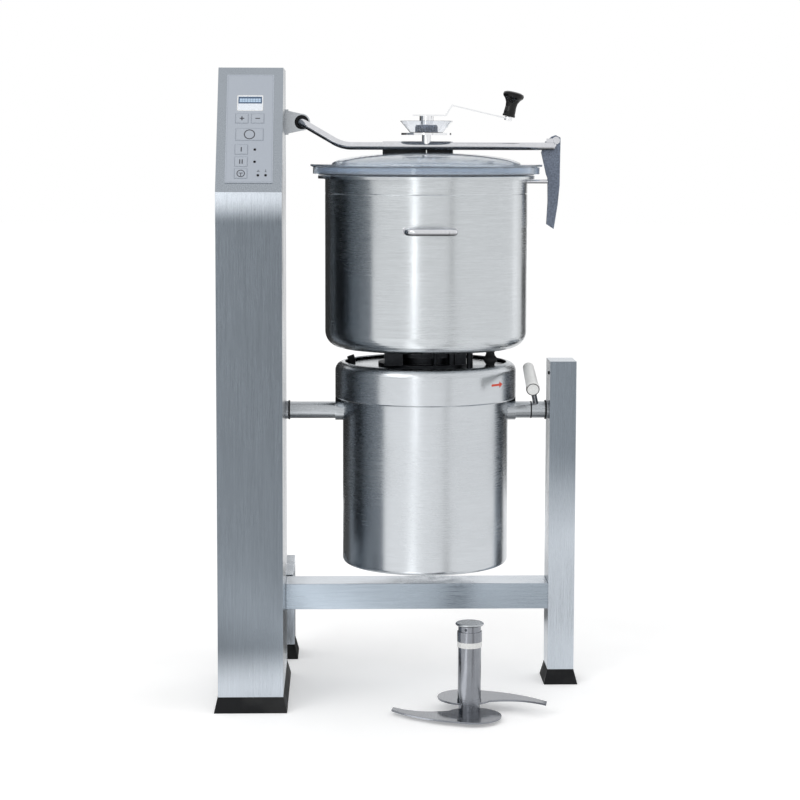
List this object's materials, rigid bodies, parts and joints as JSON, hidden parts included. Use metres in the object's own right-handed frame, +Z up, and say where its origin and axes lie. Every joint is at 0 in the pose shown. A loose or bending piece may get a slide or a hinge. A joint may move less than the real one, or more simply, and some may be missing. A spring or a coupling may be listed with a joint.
{
  "type": "vertical cutter mixer",
  "caption": "Floor-standing vertical cutter mixer with a control column, a tilting steel bowl and motor unit, a hinged clear lid with a hand-cranked wiper, and a loose blade set",
  "frame": {"origin": "On the floor under the middle of the sole of the control column's foot.", "axes": "+X to the operator's right, from the column towards the post; +Y away from the operator; +Z up."},
  "size_m": [0.82, 0.7249, 1.4],
  "materials": {
    "column_steel": "fine vertical brushed stainless sheet",
    "frame_steel": "brushed stainless box tube, welded and ground",
    "bowl_steel": "spun stainless with a fine ring-brushed finish",
    "motor_steel": "spun stainless housing, ring-brushed",
    "rod_steel": "polished stainless rod",
    "machined_steel": "turned stainless, bright",
    "blade_steel": "ground and polished blade steel",
    "cast_grey": "dark grey cast metal, bead-blasted",
    "dark_metal": "black-grey painted metal",
    "rubber_black": "moulded black rubber",
    "seal_grey": "grey food-grade rubber",
    "plastic_black": "moulded black nylon",
    "knob_black": "gloss black moulding",
    "clear_plastic": "clear moulded plastic, faintly blue",
    "white_plastic": "off-white moulded plastic",
    "panel_film": "light grey membrane film on a plate",
    "display_glass": "dark blue display window",
    "board_green": "green laminate board with switches and lamps",
    "switch_grey": "dark grey switchgear housings on a plated rack",
    "copper_iron": "laminated iron with varnished copper windings",
    "cast_aluminium": "die-cast aluminium"
  },
  "bodies": {
    "frame": {"column_shell": "column_steel", "rear_cover": "column_steel", "column_foot": "rubber_black", "post": "frame_steel", "cross_beam": "frame_steel", "rear_beam": "frame_steel", "rear_leg": "frame_steel", "tube_feet": "rubber_black", "frame_fasteners": "machined_steel", "trunnion_bearings": "cast_aluminium", "trunnion_rings": "plastic_black", "control_panel": "panel_film", "display": "display_glass", "control_board": "board_green", "contactors": "switch_grey", "cable_gland": "plastic_black", "arm_bracket": "machined_steel", "pivot_bush": "plastic_black"},
    "plus_key_body": {"plus_key": "panel_film"},
    "minus_key_body": {"minus_key": "panel_film"},
    "stop_key_body": {"stop_key": "panel_film"},
    "speed_one_body": {"speed_one_key": "panel_film"},
    "speed_two_body": {"speed_two_key": "panel_film"},
    "pulse_body": {"pulse_key": "panel_film"},
    "lid_body": {"lid_arm": "rod_steel", "arm_sleeve": "rod_steel", "lid_pad": "rubber_black", "lid": "clear_plastic", "lid_seal": "seal_grey", "lid_cup": "clear_plastic", "lid_hub": "machined_steel", "hub_nuts": "cast_grey", "lock_pin": "rod_steel"},
    "crank_body": {"crank": "machined_steel", "wiper": "white_plastic"},
    "knob_body": {"knob": "knob_black"},
    "lock_body": {"lock_lever": "cast_grey"},
    "bowl_unit": {"bowl": "bowl_steel", "bowl_handles": "rod_steel", "lid_catch": "rod_steel", "motor_deck": "motor_steel", "bowl_clamp": "dark_metal", "bowl_rests": "rubber_black", "motor_band": "motor_steel", "motor_can": "motor_steel", "trunnion_tubes": "machined_steel", "trunnion_seals": "rubber_black", "tilt_lever": "rod_steel", "tilt_grip": "white_plastic", "stator": "copper_iron", "end_shields": "cast_aluminium", "motor_bearings": "machined_steel", "shaft_seal": "rubber_black"},
    "motor_rotor": {"rotor": "cast_aluminium", "drive_shaft": "machined_steel"},
    "blade_set": {"blade_hub": "blade_steel", "blade_cap": "machined_steel", "blade_ring": "white_plastic", "upper_blade": "blade_steel", "lower_blade": "blade_steel"}
  },
  "joints": [
    {"name": "bowl_tilt", "type": "hinge", "parent": "frame", "child": "bowl_unit", "pos_m": [0.39, 0.11, 0.63], "axis": [-1, 0, 0], "range_deg": [-95, 0]},
    {"name": "lid_open", "type": "hinge", "parent": "frame", "child": "lid_body", "pos_m": [0.108, 0.11, 1.2835], "axis": [0, 1, 0], "range_deg": [-104.5, 0]},
    {"name": "lock_release", "type": "hinge", "parent": "lid_body", "child": "lock_body", "pos_m": [0.6845, 0.12415, 1.2438], "axis": [0, -1, 0], "range_deg": [0, 70]},
    {"name": "crank_turn", "type": "hinge", "parent": "lid_body", "child": "crank_body", "pos_m": [0.39, 0.11, 1.2981], "axis": [0, 0, 1], "continuous": true},
    {"name": "knob_spin", "type": "hinge", "parent": "crank_body", "child": "knob_body", "pos_m": [0.575, 0.11, 1.29401], "axis": [0.225, 0, 0.9744], "continuous": true},
    {"name": "motor_spin", "type": "hinge", "parent": "bowl_unit", "child": "motor_rotor", "pos_m": [0.39, 0.11, 0.466], "axis": [0, 0, 1], "continuous": true},
    {"name": "plus_press", "type": "slide", "parent": "frame", "child": "plus_key_body", "axis": [0, 0.8637, -0.5041], "range_m": [0, 0.0005], "stiffness_N_per_m": 400, "springref_m": -0.0005},
    {"name": "minus_press", "type": "slide", "parent": "frame", "child": "minus_key_body", "axis": [0, 0.8637, -0.5041], "range_m": [0, 0.0005], "stiffness_N_per_m": 400, "springref_m": -0.0005},
    {"name": "stop_press", "type": "slide", "parent": "frame", "child": "stop_key_body", "axis": [0, 0.8637, -0.5041], "range_m": [0, 0.0005], "stiffness_N_per_m": 400, "springref_m": -0.0005},
    {"name": "speed_one_press", "type": "slide", "parent": "frame", "child": "speed_one_body", "axis": [0, 0.8637, -0.5041], "range_m": [0, 0.0005], "stiffness_N_per_m": 400, "springref_m": -0.0005},
    {"name": "speed_two_press", "type": "slide", "parent": "frame", "child": "speed_two_body", "axis": [0, 0.8637, -0.5041], "range_m": [0, 0.0005], "stiffness_N_per_m": 400, "springref_m": -0.0005},
    {"name": "pulse_press", "type": "slide", "parent": "frame", "child": "pulse_body", "axis": [0, 0.8637, -0.5041], "range_m": [0, 0.0005], "stiffness_N_per_m": 400, "springref_m": -0.0005},
    {"name": "blade_set_lift", "type": "slide", "parent": "frame", "child": "blade_set", "axis": [0, 0, 1], "range_m": [0, 0.25]}
  ],
  "couplings": [
    {"joint": "lid_open", "follows": "bowl_tilt", "ratio": 1.1}
  ]
}
